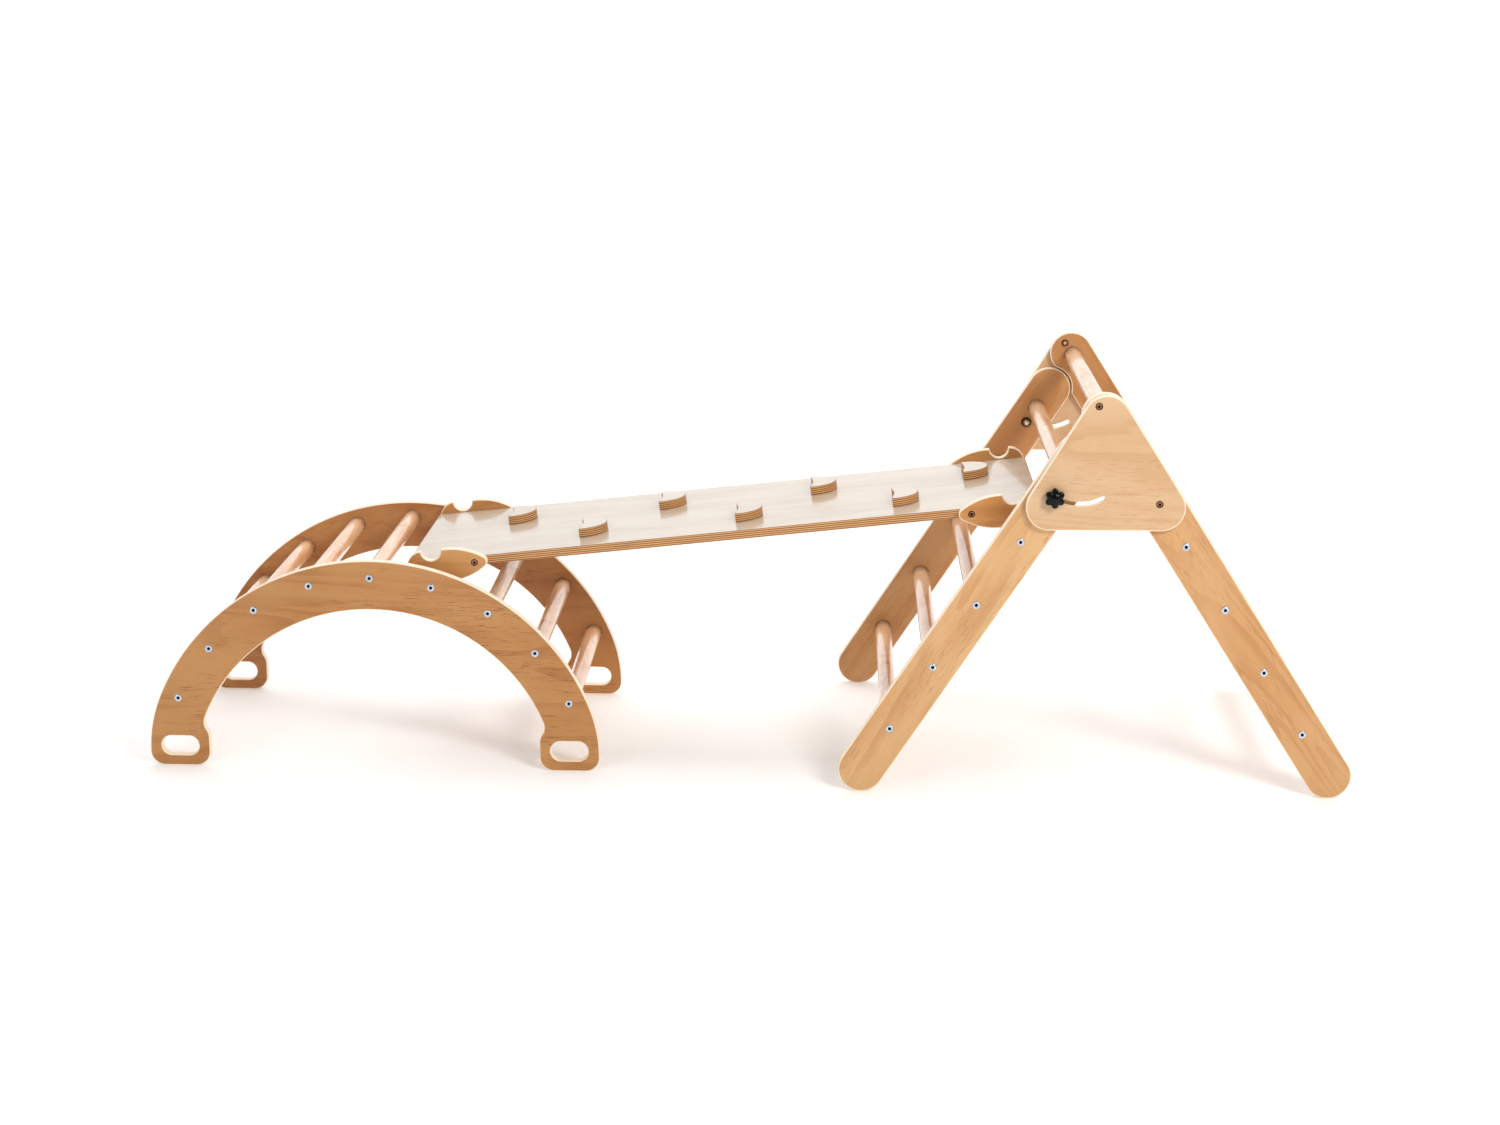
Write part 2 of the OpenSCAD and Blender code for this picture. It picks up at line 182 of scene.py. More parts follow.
# ---------------------------------------------------------------- building meshes


class Shape:
    """Vertices, faces, normals and wood coordinates of one piece."""

    def __init__(self):
        self.verts, self.normals, self.faces, self.slots = [], [], [], []
        self.grain, self.layer, self.tone = [], [], []

    def ring(self, points, normals, grain, layer=0.0, tone=0.5):
        first = len(self.verts)
        self.verts += points
        self.normals += normals
        self.grain += grain
        self.layer += [layer] * len(points)
        self.tone += [tone] * len(points)
        return range(first, len(self.verts))

    def bridge(self, high, low, slot):
        n = len(high)
        for i in range(n):
            j = (i + 1) % n
            self.faces.append((high[i], low[i], low[j], high[j]))
            self.slots.append(slot)

    def finish(self, name, node, materials, from_local=None, sharp=None):
        """Makes the object, in the row frame, riding where its CAD node rides."""
        m = from_local or Matrix.Identity(4)
        spin = m.to_3x3()
        mesh = bpy.data.meshes.new(name)
        mesh.from_pydata([m @ Vector(v) for v in self.verts], [], self.faces)
        for mat in materials:
            mesh.materials.append(mat)
        mesh.polygons.foreach_set("material_index", self.slots)
        mesh.shade_smooth()
        for label, kind, values in (
            ("grain", "FLOAT_VECTOR", [c for g in self.grain for c in g]),
            ("layer", "FLOAT", self.layer),
            ("tone", "FLOAT", self.tone),
        ):
            store = mesh.attributes.new(label, kind, "POINT")
            store.data.foreach_set("vector" if kind == "FLOAT_VECTOR" else "value", values)
        if sharp is None:
            mesh.normals_split_custom_set_from_vertices(
                [(spin @ Vector(v)).normalized() for v in self.normals]
            )
        else:
            mesh.set_sharp_from_angle(angle=math.radians(sharp))
        mesh.validate()
        obj = bpy.data.objects.new(name, mesh)
        bpy.context.scene.collection.objects.link(obj)
        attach(obj, body_of[node])
        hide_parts(node)
        return obj


def outward(loop):
    """For each point of a loop, the direction out of the material and the mitre length."""
    n = len(loop)
    found = []
    for i, p in enumerate(loop):
        d0, d1 = (p - loop[i - 1]).normalized(), (loop[(i + 1) % n] - p).normalized()
        both = Vector((d0.y + d1.y, -d0.x - d1.x)).normalized()
        found.append((both, 1 / max(0.5, both.dot(Vector((d0.y, -d0.x))))))
    return found


def flat_piece(
    name, node, to_local, materials, along=0.0, round_r=2 * MM, layers=9, seed=0.0, tone=(0.5, 0.5)
):
    """Rebuilds a flat CAD piece from its outline, with rounded edges.

    to_local lays the sheet flat; along is the grain's angle in that flat frame.
    Slot 0 of materials is the face and slot 1 the layered edge.
    tone is how deep the colour is, on the face at the low and at the high end of z; a deeper tone on a sheet's
    inner face is painted shade.
    """
    local = [to_local @ v.co for v in nodes[node].data.vertices]
    z0, z1 = min(p.z for p in local), max(p.z for p in local)
    shape = Shape()
    c, s = math.cos(along), math.sin(along)

    def lay(points, z, normals):
        grain = [(p.x * c + p.y * s + seed, p.y * c - p.x * s + seed * 0.37, z - z0) for p in points]
        share = (z - z0) / (z1 - z0)
        shade = tone[0] + (tone[1] - tone[0]) * share
        return shape.ring([(p.x, p.y, z) for p in points], normals, grain, share * layers, shade)

    def rounded_edge(loop, z, sign, radius):
        """Rings from the flat face over the rounding to the side wall."""
        out = outward(loop)
        rings = []
        for k in range(5):
            t = k / 4 * math.pi / 2
            inset, drop = radius * (1 - math.sin(t)), radius * (1 - math.cos(t))
            points = [p - n * (inset * mitre) for p, (n, mitre) in zip(loop, out)]
            normals = [(n.x * math.sin(t), n.y * math.sin(t), sign * math.cos(t)) for n, _ in out]
            rings.append(lay(points, z - sign * drop, normals))
        for a, b in zip(rings, rings[1:]):
            shape.bridge(*((a, b) if sign > 0 else (b, a)), 1)
        return rings[0], rings[-1]

    def cap(rings, sign):
        """Fills every outline of one side, less the openings that lie in it."""
        loops = [[Vector(shape.verts[i]) for i in r] for r in rings]
        areas = [sum(a.cross(b).z for a, b in zip(lp[-1:] + lp[:-1], lp)) / 2 for lp in loops]
        main = max(areas, key=abs)
        openings = [k for k, area in enumerate(areas) if area * main < 0]
        for k, area in enumerate(areas):
            if k in openings:
                continue
            xs, ys = [p.x for p in loops[k]], [p.y for p in loops[k]]
            group = [k] + [
                j for j in openings
                if min(xs) < loops[j][0].x < max(xs) and min(ys) < loops[j][0].y < max(ys)
            ]
            index = [i for j in group for i in rings[j]]
            for tri in tessellate_polygon([loops[j] for j in group]):
                a, b, d = (Vector(shape.verts[index[i]]) for i in tri)
                up = (b - a).cross(d - a).z * sign
                if abs(up) < 1e-14:
                    continue
                shape.faces.append(tuple(index[i] for i in (tri if up > 0 else tri[::-1])))
                shape.slots.append(0)

    def clean(loop):
        return arcs_refined(corners_rounded(straightened(loop), round_r * 1.2))

    def spot(loop):
        return Vector([(min(p[k] for p in loop) + max(p[k] for p in loop)) / 2 for k in (0, 1)])

    def wide(loop):
        return max(max(p[k] for p in loop) - min(p[k] for p in loop) for k in (0, 1))

    def clearance(loop):
        """Area over half the outline: about the width of a long opening."""
        area = sum(a.x * b.y - a.y * b.x for a, b in zip(loop[-1:] + loop[:-1], loop)) / 2
        return abs(area) * 2 / sum((a - b).length for a, b in zip(loop[-1:] + loop[:-1], loop))

    tops = face_loops(node, to_local, z1)
    bottoms = [loop[::-1] for loop in face_loops(node, to_local, z0)]
    through = [
        (t, b) for t in tops for b in bottoms
        if (spot(t) - spot(b)).length < 2 * MM and abs(wide(t) - wide(b)) < 0.3 * MM
    ]
    top_caps, bottom_caps = [], []
    for t, _ in through:
        loop = clean(t)
        radius = round_r if clearance(t) > WIDE_OPENING else SLOT_RIM
        cap_top, side_top = rounded_edge(loop, z1, 1, radius)
        cap_low, side_low = rounded_edge(loop, z0, -1, radius)
        shape.bridge(side_top, side_low, 1)
        top_caps.append(cap_top)
        bottom_caps.append(cap_low)
    for loops, z, sign, caps in ((tops, z1, 1, top_caps), (bottoms, z0, -1, bottom_caps)):
        for raw in loops:
            if any(raw is t or raw is b for t, b in through):
                continue
            loop = clean(raw)
            depth = SOCKET_DEPTH if wide(raw) > SOCKET_WIDTH else RECESS_DEPTH
            edge, side = rounded_edge(loop, z, sign, HOLE_RIM)
            flat = [(n.x, n.y, 0.0) for n, _ in outward(loop)]
            deep = lay(loop, z - sign * depth, flat)
            shape.bridge(*((side, deep) if sign > 0 else (deep, side)), 1)
            floor = lay(loop, z - sign * depth, [(0, 0, sign)] * len(loop))
            cap([floor], sign)
            caps.append(edge)
    cap(top_caps, 1)
    cap(bottom_caps, -1)
    return shape.finish(name, node, materials, to_local.inverted())


# ---------------------------------------------------------------- turned pieces


def circle(radius):
    return lambda angle: radius


def hexagon(apothem, limit=math.inf):
    """Radius of a hexagon at an angle, never beyond limit."""
    def radius(angle):
        a = (angle + math.pi / 6) % (math.pi / 3) - math.pi / 6
        return min(apothem / math.cos(a), limit)
    return radius


def turned(shape, profile, base, axis, side, segments=48, tone=0.5):
    """Adds a closed turned solid: profile holds (radius function, height) from base along axis."""
    axis = Vector(axis).normalized()
    side = Vector(side).normalized()
    other = axis.cross(side)
    rings = []
    for radius, height in profile:
        points, grain = [], []
        for k in range(segments):
            a = k / segments * 2 * math.pi
            r = radius(a)
            offset = side * (r * math.cos(a)) + other * (r * math.sin(a))
            points.append(tuple(base + axis * height + offset))
            grain.append((height + tone, r * math.cos(a), r * math.sin(a)))
        rings.append(shape.ring(points, [(0, 0, 1)] * segments, grain, height, tone))
    for low, high in zip(rings, rings[1:]):
        shape.bridge(high, low, 0)
    shape.faces += [tuple(reversed(rings[0])), tuple(rings[-1])]
    shape.slots += [0, 0]


def dowels(name, node, material):
    """Round rungs along Y, each with its own place in the log."""
    shape = Shape()
    for i, box in enumerate(islands(node)):
        mid, half = centre(box), (box[1].y - box[0].y) / 2
        radius = (box[1].z - box[0].z) / 2
        pith = 0.045 + 0.02 * math.sin(2.3 * i)
        swing = 2.4 * i + 0.7
        steps = [-half, -half + 1.5 * MM]
        steps += [half * (k / 6 - 1) * 0.98 for k in range(1, 12)]
        steps += [half - 1.5 * MM, half]
        rings = []
        for k, y in enumerate(steps):
            r = radius - (1.2 * MM if k in (0, len(steps) - 1) else 0)
            points, normals, grain = [], [], []
            for s in range(72):
                a = s / 72 * 2 * math.pi
                n = Vector((math.cos(a), 0, math.sin(a)))
                points.append((mid.x + r * n.x, mid.y + y, mid.z + r * n.z))
                normals.append(tuple(n))
                grain.append((
                    y + 3.1 * i,
                    r * math.cos(a + swing) + pith,
                    r * math.sin(a + swing) + 0.011 * i,
                ))
            rings.append(shape.ring(points, normals, grain, 0.0, (i * 0.37) % 1))
        for a, b in zip(rings, rings[1:]):
            shape.bridge(b, a, 0)
        shape.faces += [tuple(rings[0]), tuple(reversed(rings[-1]))]
        shape.slots += [0, 0]
    return shape.finish(name, node, [material], sharp=40)


def outward_y(box):
    """+1 for hardware on the left side of the set, -1 for the right side."""
    return 1 if centre(box).y > 0 else -1


def headed(shape, box, sign, head, shank_r):
    """A screw or bolt along Y: turned head profile at its outer end, shank below it."""
    outer = box[1].y if sign > 0 else box[0].y
    length = box[1].y - box[0].y
    base = Vector((centre(box).x, outer, centre(box).z))
    body = [(circle(shank_r - 0.6 * MM), -length), (circle(shank_r), -length + 0.8 * MM)]
    turned(shape, body + head(shank_r), base, (0, sign, 0), (1, 0, 0), tone=(base.x * 7.3) % 1)


def rung_screws(name, node, materials):
    """Round heads standing a little proud, with a hexagon recess."""
    def head(shank):
        return [
            (circle(shank), -2.8 * MM), (circle(7.1 * MM), -2.75 * MM), (circle(7.1 * MM), -0.85 * MM),
            (circle(6.95 * MM), -0.45 * MM), (circle(6.5 * MM), -0.15 * MM), (circle(5.9 * MM), 0.0),
            (circle(4.3 * MM), 0.0), (hexagon(3.4 * MM), -0.15 * MM), (hexagon(3.15 * MM), -0.4 * MM),
            (hexagon(3.0 * MM), -2.2 * MM), (circle(1.4 * MM), -2.5 * MM),
        ]
    shape = Shape()
    for box in islands(node):
        sign = 1 if centre(box).y > centre(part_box(node)).y else -1
        headed(shape, box, sign, head, 3 * MM)
    return shape.finish(name, node, materials, sharp=30)


def recessed_bolts(name, node, materials):
    """Flush bolt heads: rim, shallow dish and hexagon socket."""
    def head(shank):
        return [
            (circle(shank), -2.0 * MM), (circle(6.9 * MM), -1.95 * MM), (circle(6.9 * MM), -0.7 * MM),
            (circle(6.7 * MM), -0.3 * MM), (circle(6.1 * MM), 0.0), (circle(5.2 * MM), -0.05 * MM),
            (circle(3.6 * MM), -0.2 * MM), (hexagon(2.7 * MM), -0.3 * MM), (hexagon(2.5 * MM), -0.6 * MM),
            (hexagon(2.5 * MM), -1.8 * MM), (circle(1.1 * MM), -1.95 * MM),
        ]
    shape = Shape()
    for box in islands(node):
        headed(shape, box, outward_y(box), head, 3 * MM)
    return shape.finish(name, node, materials, sharp=30)


def hexagon_nuts(name, node, materials, apothem, flange=0.0):
    """Chamfered nuts along Y on the inner side of the rails, with a flange if it is set."""
    shape = Shape()
    for box in islands(node):
        sign = -outward_y(box)
        length = box[1].y - box[0].y
        start = box[1].y if sign < 0 else box[0].y
        base = Vector((centre(box).x, start, centre(box).z))
        corner = apothem / math.cos(math.pi / 6)
        foot = 1.2 * MM if flange else 0.0
        profile = []
        if flange:
            profile = [(circle(flange), 0.0), (circle(flange), 0.7 * MM), (circle(flange - 0.7 * MM), foot)]
        profile += [
            (hexagon(apothem, corner * (1 if flange else 0.95)), foot),
            (hexagon(apothem, corner), foot + 0.5 * MM),
            (hexagon(apothem, corner), length - 0.8 * MM),
            (hexagon(apothem, corner * 0.97), length - 0.35 * MM),
            (circle(apothem * 0.96), length),
            (circle(apothem * 0.62), length), (circle(apothem * 0.55), length - 0.5 * MM),
        ]
        turned(shape, profile, base, (0, sign, 0), (0, 0, 1), tone=(base.x * 5.1) % 1)
    return shape.finish(name, node, materials, sharp=30)


def washers(name, node, materials):
    shape = Shape()
    for box in islands(node):
        sign = -outward_y(box)
        length, radius = box[1].y - box[0].y, (box[1].z - box[0].z) / 2
        start = box[1].y if sign < 0 else box[0].y
        base = Vector((centre(box).x, start, centre(box).z))
        profile = [
            (circle(radius - 0.3 * MM), 0.0), (circle(radius), 0.3 * MM),
            (circle(radius), length - 0.4 * MM), (circle(radius - 0.4 * MM), length),
            (circle(4.4 * MM), length), (circle(4.2 * MM), length - 0.3 * MM),
        ]
        turned(shape, profile, base, (0, sign, 0), (0, 0, 1), segments=64)
    return shape.finish(name, node, materials, sharp=30)


def threaded_bars(name, node, materials):
    """Clamp bolts: bars along Y with thread rings near both ends and a bevelled tip."""
    shape = Shape()
    for box in islands(node):
        length, radius = box[1].y - box[0].y, (box[1].z - box[0].z) / 2
        base = Vector((centre(box).x, box[0].y, centre(box).z))
        profile = [(circle(radius - 1.1 * MM), 0.0), (circle(radius), 1.0 * MM)]
        pitch = 1.25 * MM
        for k in range(2, int(length / pitch) - 1):
            profile += [(circle(radius - 0.45 * MM), k * pitch), (circle(radius), (k + 0.5) * pitch)]
        profile += [(circle(radius), length - 1.0 * MM), (circle(radius - 1.1 * MM), length)]
        turned(shape, profile, base, (0, 1, 0), (0, 0, 1), segments=32)
    return shape.finish(name, node, materials, sharp=30)


def star_knob(name, node, materials):
    """Six-lobed knob with rounded rims and a low boss behind it."""
    lo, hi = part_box(node)
    sign = 1 if lo.y > 0 else -1
    start = lo.y if sign > 0 else hi.y
    depth, tip = hi.y - lo.y, (hi.z - lo.z) / 2
    mid = (lo + hi) / 2

    def lobed(scale, inset):
        def radius(angle):
            off = math.degrees((angle + math.pi / 6) % (math.pi / 3)) - 30
            lobe = max(0.0, 1 - (off / 28) ** 2) ** 1.2
            return (tip * (0.74 + 0.26 * lobe) - inset) * scale
        return radius

    profile = [
        (circle(9.2 * MM), 0.0), (circle(9.8 * MM), 0.4 * MM), (circle(9.6 * MM), 5.6 * MM),
        (lobed(0.62, 0), 6.4 * MM), (lobed(1, 2.6 * MM), 6.6 * MM), (lobed(1, 0.9 * MM), 7.3 * MM),
        (lobed(1, 0.2 * MM), 8.4 * MM), (lobed(1, 0), 9.8 * MM), (lobed(1, 0), depth - 6.5 * MM),
        (lobed(1, 0.3 * MM), depth - 5.6 * MM), (lobed(1, 1.0 * MM), depth - 4.7 * MM),
        (lobed(1, 2.1 * MM), depth - 4.0 * MM), (lobed(1, 3.8 * MM), depth - 3.5 * MM),
        (lobed(0.7, 0), depth - 3.2 * MM), (lobed(0.6, 0), depth - 2.7 * MM),
        (circle(0.46 * tip), depth - 2.0 * MM), (circle(0.36 * tip), depth - 1.2 * MM),
        (circle(0.26 * tip), depth - 0.6 * MM), (circle(0.14 * tip), depth - 0.15 * MM),
        (circle(0.6 * MM), depth),
    ]
    shape = Shape()
    base = Vector((mid.x, start, mid.z))
    turned(shape, profile, base, (0, sign, 0), (0, 0, 1), segments=144)
    return shape.finish(name, node, materials, sharp=50)


def barrel_nuts(name, node, materials, up):
    """Cross nuts let into the board from below, with a shallow round recess in the end."""
    shape = Shape()
    lift = up.to_3x3().inverted() @ Vector((0, 0, 1))
    for box in islands(node):
        base = centre(box) - lift * (BARREL_LENGTH / 2)
        profile = [
            (circle(1.2 * MM), 0.9 * MM), (circle(3.4 * MM), 0.8 * MM), (circle(3.7 * MM), 0.1 * MM),
            (circle(4.5 * MM), 0.0), (circle(5 * MM), 0.5 * MM),
            (circle(5 * MM), BARREL_LENGTH - 0.5 * MM), (circle(4.5 * MM), BARREL_LENGTH),
        ]
        turned(shape, profile, base, lift, (0, 1, 0), segments=40)
    return shape.finish(name, node, materials, sharp=30)


def hold_screws(name, node, materials, up):
    """Screws that hold the holds from below, in their countersinks."""
    shape = Shape()
    lift = up.to_3x3().inverted() @ Vector((0, 0, 1))
    for box in islands(node):
        base = centre(box) - lift * HOLD_SCREW_HALF
        profile = [
            (circle(0.8 * MM), 1.6 * MM), (hexagon(1.6 * MM), 1.5 * MM), (hexagon(1.7 * MM), 0.15 * MM),
            (circle(3.6 * MM), 0.0), (circle(4 * MM), 0.15 * MM), (circle(2.2 * MM), 2.4 * MM),
            (circle(2 * MM), 2.6 * MM), (circle(2 * MM), 26 * MM), (circle(0.5 * MM), 28 * MM),
        ]
        turned(shape, profile, base, lift, (0, 1, 0), segments=32)
    return shape.finish(name, node, materials, sharp=30)


# ---------------------------------------------------------------- materials


def srgb(r, g, b):
    """Linear colour from 0 to 255 screen values."""
    linear = (((c / 255 + 0.055) / 1.055) ** 2.4 if c > 10 else c / 255 / 12.92 for c in (r, g, b))
    return (*linear, 1.0)


class Nodes:
    """Short calls for building one material's node tree."""

    def __init__(self, name):
        self.material = bpy.data.materials.new(name)
        self.material.use_nodes = True
        self.tree = self.material.node_tree
        self.tree.nodes.clear()
        self.surface = self.make("ShaderNodeBsdfPrincipled")
        out = self.make("ShaderNodeOutputMaterial")
        self.link(self.surface.outputs[0], out.inputs["Surface"])

    def make(self, kind, **settings):
        node = self.tree.nodes.new(kind)
        for key, value in settings.items():
            setattr(node, key, value)
        return node

    def link(self, source, target):
        self.tree.links.new(source, target)

    def put(self, target, value):
        if isinstance(value, bpy.types.NodeSocket):
            self.link(value, target)
        else:
            target.default_value = value

    def attribute(self, name, output):
        return self.make("ShaderNodeAttribute", attribute_name=name).outputs[output]

    def scaled(self, vector, scale):
        node = self.make("ShaderNodeVectorMath", operation="MULTIPLY")
        self.put(node.inputs[0], vector)
        self.put(node.inputs[1], scale)
        return node.outputs[0]

    def noise(self, vector, scale, detail=2.0, roughness=0.5, distortion=0.0):
        node = self.make("ShaderNodeTexNoise")
        self.link(self.scaled(vector, scale), node.inputs["Vector"])
        node.inputs["Scale"].default_value = 1.0
        node.inputs["Detail"].default_value = detail
        node.inputs["Roughness"].default_value = roughness
        node.inputs["Distortion"].default_value = distortion
        return node.outputs[0]

    def math(self, operation, a, b=0.0):
        node = self.make("ShaderNodeMath", operation=operation)
        self.put(node.inputs[0], a)
        self.put(node.inputs[1], b)
        return node.outputs[0]

    def step(self, value, low, high, to_low=0.0, to_high=1.0):
        """Smooth rise of value from low to high."""
        node = self.make("ShaderNodeMapRange", interpolation_type="SMOOTHSTEP")
        for socket, v in zip(node.inputs, (value, low, high, to_low, to_high)):
            self.put(socket, v)
        return node.outputs[0]

    def from_axis(self, vector):
        """Distance from the vector's own x axis."""
        parts = self.make("ShaderNodeSeparateXYZ")
        self.link(vector, parts.inputs[0])
        squares = [self.math("POWER", parts.outputs[k], 2.0) for k in (1, 2)]
        return self.math("SQRT", self.math("ADD", *squares))

    def mix(self, factor, a, b):
        node = self.make("ShaderNodeMix", data_type="RGBA")
        self.put(node.inputs[0], factor)
        self.put(node.inputs[6], a)
        self.put(node.inputs[7], b)
        return node.outputs[2]

    def bump(self, height, distance, strength=1.0):
        node = self.make("ShaderNodeBump")
        node.inputs["Strength"].default_value = strength
        node.inputs["Distance"].default_value = distance
        self.link(height, node.inputs["Height"])
        return node.outputs[0]

    def done(self, colour, roughness, normal=None, **constants):
        self.put(self.surface.inputs["Base Color"], colour)
        self.put(self.surface.inputs["Roughness"], roughness)
        if normal is not None:
            self.put(self.surface.inputs["Normal"], normal)
        for key, value in constants.items():
            self.surface.inputs[key.replace("_", " ")].default_value = value
        return self.material


def veneer(name, light, mid, dark, tone_and_shade_colour, dash=0.55, figure=0.5, gloss=0.42, coat=0.12, coat_rough=0.22):
    """Clear-lacquered pine veneer: broad wavy figure, short dark fibres, fine grain."""
    n = Nodes(name)
    grain = n.attribute("grain", "Vector")
    tone = n.attribute("tone", "Fac")
    broad = n.noise(grain, (1.1, 8.5, 1), detail=2.5, roughness=0.45, distortion=0.4)
    bands = n.math("FRACT", n.math("MULTIPLY", broad, 9.0))
    band = n.math("MULTIPLY", n.step(bands, 0.25, 0.9), n.step(bands, 1.0, 0.93))
    patches = n.noise(grain, (2.6, 7.5, 1), detail=3, roughness=0.55, distortion=0.3)
    base = n.mix(n.math("MULTIPLY", n.step(patches, 0.36, 0.66), 0.75), light, mid)
    shade = n.math("MULTIPLY", n.math("MULTIPLY", band, n.step(patches, 0.32, 0.6)), figure)
    base = n.mix(shade, base, dark)
    fibre = n.noise(grain, (34, 900, 60), detail=2, roughness=0.6)
    base = n.mix(n.step(fibre, 0.35, 0.75, 0.0, 0.16), base, dark)
    dashes = n.noise(grain, (30, 560, 40), detail=2.5, roughness=0.6, distortion=0.15)
    where = n.step(n.noise(grain, (3.1, 12, 1), detail=2.5), 0.40, 0.60, 0.12, 1.0)
    marks = n.math("MULTIPLY", n.math("MULTIPLY", n.step(dashes, 0.57, 0.66), where), dash)
    red = tuple(c * k for c, k in zip(dark, (0.62, 0.42, 0.34))) + (1.0,)
    base = n.mix(marks, base, red)
    # deeper tones pull towards the fourth colour: partly each piece's own tone, and on the inner faces painted
    # shade with painted orange bounce light
    base = n.mix(n.step(tone, 0.0, 1.0, 0.0, 0.6), base, tone_and_shade_colour)
    rough = n.math("ADD", n.math("MULTIPLY", fibre, 0.12), gloss - 0.06)
    height = n.math("SUBTRACT", n.math("MULTIPLY", fibre, 0.35), marks)
    return n.done(
        base, rough, n.bump(height, 0.00012, 0.5),
        Specular_IOR_Level=0.35, Coat_Weight=coat, Coat_Roughness=coat_rough,
    )


def layered_edge(name, light, dark, contrast):
    """Sanded plywood edge: plies with the grain turned in each, and thin glue lines."""
    n = Nodes(name)
    grain = n.attribute("grain", "Vector")
    layer = n.attribute("layer", "Fac")
    wobble = n.noise(grain, (24, 24, 20), detail=2)
    height = n.math("ADD", layer, n.math("MULTIPLY", wobble, 0.16))
    ply = n.math("PINGPONG", height, 1.0)
    cross = n.step(ply, 0.42, 0.58)
    streaks = n.noise(grain, (16, 16, 520), detail=2.5, roughness=0.55)
    pores = n.noise(grain, (900, 900, 700), detail=2, roughness=0.7)
    base = n.mix(n.math("MULTIPLY", cross, contrast), light, dark)
    base = n.mix(n.math("MULTIPLY", n.step(streaks, 0.45, 0.75), contrast * 0.4), base, dark)
    open_pores = n.math("MULTIPLY", n.step(pores, 0.5, 0.7), cross)
    base = n.mix(n.math("MULTIPLY", open_pores, contrast * 0.5), base, dark)
    from_glue = n.math("ABSOLUTE", n.math("SUBTRACT", ply, 0.5))
    glue = n.math("MULTIPLY", n.step(from_glue, 0.09, 0.03), contrast * 0.8)
    deep = tuple(c * k for c, k in zip(dark, (0.45, 0.36, 0.3))) + (1.0,)
    base = n.mix(glue, base, deep)
    rough = n.math("ADD", n.math("MULTIPLY", pores, 0.15), 0.45)
    relief = n.bump(n.math("MULTIPLY", cross, pores), 0.00015, 0.4)
    return n.done(base, rough, relief, Coat_Weight=0.15, Coat_Roughness=0.3)


def dowel_wood(name, light, mid, dark):
    """Turned hardwood rung: rings cut into long streaks, small pores and knots, gloss lacquer."""
    n = Nodes(name)
    grain = n.attribute("grain", "Vector")
    tone = n.attribute("tone", "Fac")
    warp = n.noise(grain, (4, 22, 22), detail=2)
    growth = n.math("MULTIPLY", n.from_axis(grain), 190.0)
    rings = n.math("FRACT", n.math("ADD", growth, n.math("MULTIPLY", warp, 3.4)))
    late = n.math("MULTIPLY", n.step(rings, 0.35, 0.92), n.step(rings, 1.0, 0.94))
    patches = n.noise(grain, (7, 40, 40), detail=3, roughness=0.6, distortion=0.5)
    base = n.mix(n.step(patches, 0.38, 0.68), light, mid)
    base = n.mix(n.math("MULTIPLY", late, 0.15), base, dark)
    pores = n.noise(grain, (160, 900, 900), detail=2, roughness=0.6)
    base = n.mix(n.step(pores, 0.62, 0.76, 0.0, 0.4), base, dark)
    knots = n.noise(grain, (16, 26, 26), detail=1)
    base = n.mix(n.step(knots, 0.66, 0.78, 0.0, 0.6), base, dark)
    base = n.mix(n.step(tone, 0.0, 1.0, 0.0, 0.18), base, mid)
    rough = n.math("ADD", n.math("MULTIPLY", pores, 0.14), 0.28)
    height = n.math("SUBTRACT", n.math("MULTIPLY", warp, 0.8), pores)
    return n.done(base, rough, n.bump(height, 0.0001, 0.25), Coat_Weight=0.8, Coat_Roughness=0.09)


def metal(name, colour, shade, roughness, rim=0.0):
    """Plated steel with turning marks, faint tarnish, painted shade down in the sockets and a painted glint on
    bolt tips.

    Beyond the radius rim, if it is set, the head is painted dark: painted shade of the counterbore around the
    head.
    """
    n = Nodes(name)
    place = n.attribute("grain", "Vector")
    height = n.attribute("layer", "Fac")
    marks = n.noise(place, (1560, 260, 260), detail=3, roughness=0.65)
    stains = n.noise(place, (190, 190, 190), detail=2)
    base = n.mix(n.step(stains, 0.35, 0.7, 0.0, 0.55), colour, shade)
    if rim:
        # painted shade: past the rim the head is darkened, standing for the shade in the counterbore around it
        counterbore_shade = n.step(n.from_axis(place), rim - 0.4 * MM, rim + 0.3 * MM, 0.0, 0.92)
        base = n.mix(counterbore_shade, base, srgb(38, 22, 16))
    # painted highlight: shank ends more than 5 mm below the head top turn near-white, a painted glint on bolt tips
    # seen through the nuts
    base = n.mix(n.step(height, -5 * MM, -6 * MM), base, srgb(226, 222, 216))
    # painted shade: from just below the head top down to about 4 mm, sockets and head sides are darkened where
    # shade falls in the recesses
    below_head = n.step(height, -0.25 * MM, -1.0 * MM, 0.0, 0.96)
    socket_shade = n.math("MULTIPLY", below_head, n.step(height, -4 * MM, -3 * MM))
    base = n.mix(socket_shade, base, srgb(14, 14, 18))
    rough = n.math("ADD", n.math("MULTIPLY", marks, 0.2), roughness - 0.1)
    rough = n.math("ADD", rough, n.math("MULTIPLY", socket_shade, 0.4))
    return n.done(base, rough, n.bump(marks, 0.00003, 0.5), Metallic=1.0)


def moulded_plastic(name, colour, shade):
    """Glossy black plastic with a faint orange-peel and rubbed lobes."""
    n = Nodes(name)
    place = n.attribute("grain", "Vector")
    peel = n.noise(place, (600, 600, 600), detail=2)
    rub = n.noise(place, (90, 120, 120), detail=3, roughness=0.6)
    base = n.mix(n.step(rub, 0.45, 0.75, 0.0, 0.5), colour, shade)
    rough = n.math("ADD", n.math("MULTIPLY", rub, 0.08), 0.05)
    return n.done(base, rough, n.bump(peel, 0.00004, 0.35), Specular_IOR_Level=0.2)


